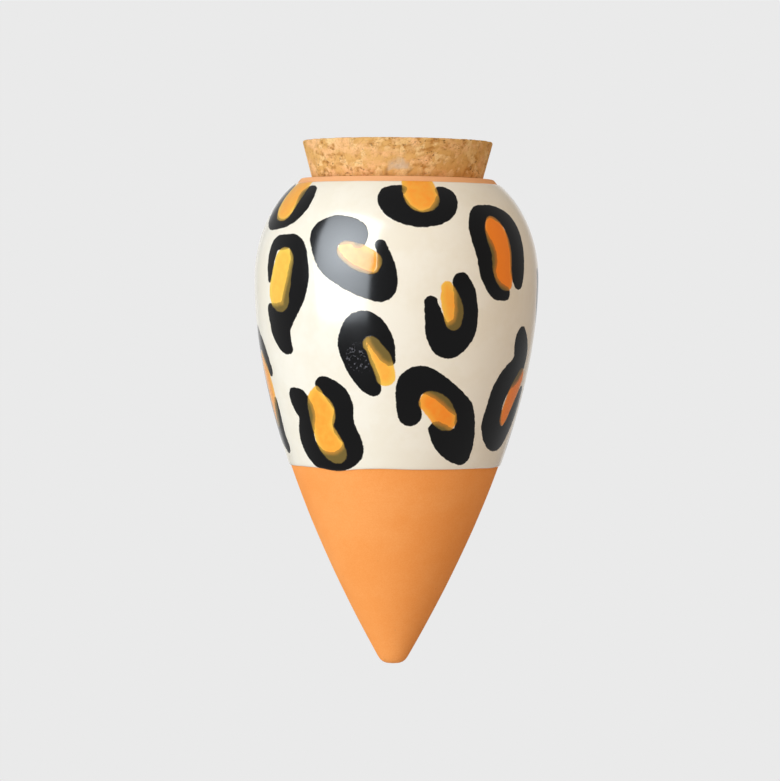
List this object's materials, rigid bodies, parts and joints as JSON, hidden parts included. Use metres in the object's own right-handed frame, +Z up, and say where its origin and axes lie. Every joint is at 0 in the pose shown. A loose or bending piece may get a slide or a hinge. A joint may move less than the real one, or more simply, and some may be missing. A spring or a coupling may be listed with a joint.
{
  "type": "ceramic olla",
  "caption": "Pointed clay watering vessel with a glazed spotted upper half, a bare porous cone and a tapered cork; pushed into soil, it seeps water to a plant.",
  "frame": {"origin": "centre of the flat end of the tip, on the vessel's axis", "axes": "+Z up along the vessel's axis, from the tip to the cork; -Y faces the picture's viewer"},
  "size_m": [0.087, 0.087, 0.16],
  "materials": {
    "terracotta": "bare fired orange clay, matt and porous",
    "painted_glaze": "glossy cream glaze with black and amber spots under it",
    "cork": "pressed cork granules, raw"
  },
  "bodies": {
    "vessel": {"clay_vessel": "terracotta", "glaze_coat": "painted_glaze"},
    "stopper": {"cork_stopper": "cork"}
  },
  "joints": [
    {"name": "stopper_lift", "type": "slide", "parent": "vessel", "child": "stopper", "axis": [0, 0, 1], "range_m": [0, 0.06]}
  ]
}
